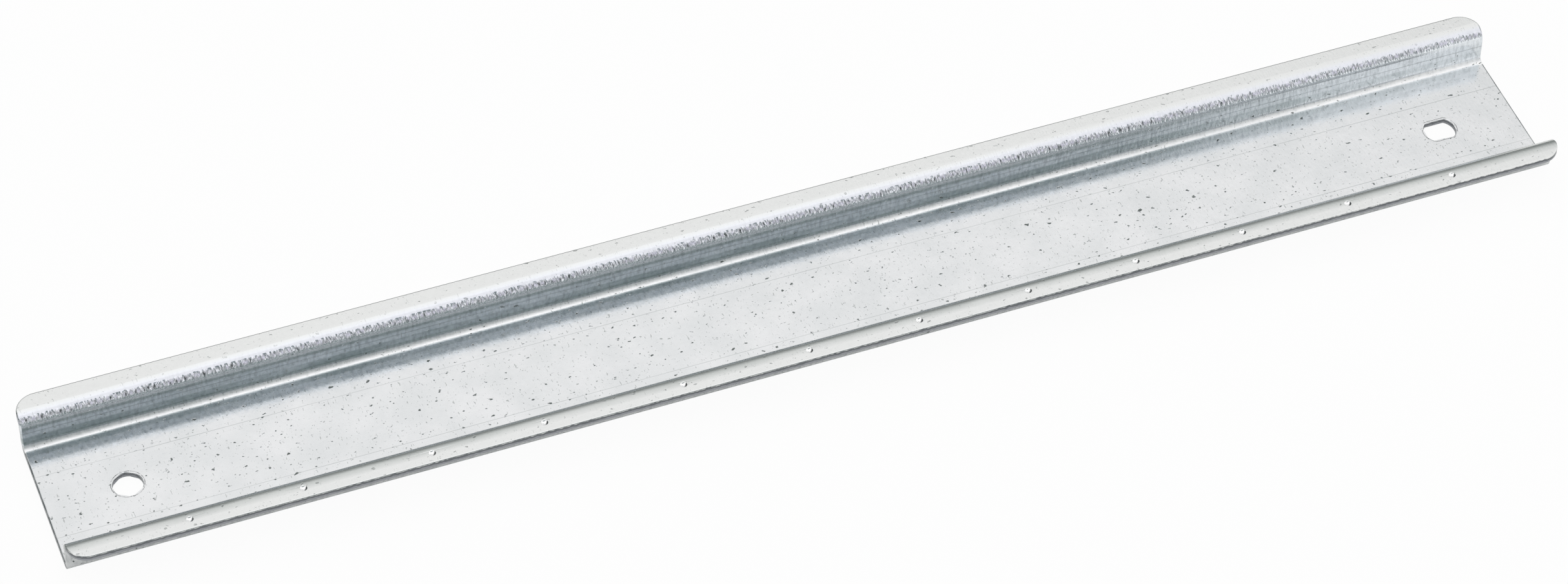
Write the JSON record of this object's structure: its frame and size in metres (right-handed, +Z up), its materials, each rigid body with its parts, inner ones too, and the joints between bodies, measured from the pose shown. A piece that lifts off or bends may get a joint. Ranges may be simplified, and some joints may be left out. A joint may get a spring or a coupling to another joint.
{
  "type": "din rail",
  "caption": "Top-hat mounting rail rolled from one zinc-coated steel strip, with rounded flange corners, a round hole, a slotted hole and pricked marks along a flange.",
  "frame": {"origin": "middle of the length and the width, on the underside of the web", "axes": "+X along the rail, from the round hole to the slotted hole; +Z up, out of the open side of the channel; the flange with the marks is on the -Y side"},
  "size_m": [0.25, 0.035, 0.0075],
  "materials": {
    "zinc_coated_steel": "satin zinc coating with small dark pits and fine rolling lines"
  },
  "bodies": {
    "root": {"rail": "zinc_coated_steel"}
  },
  "joints": []
}
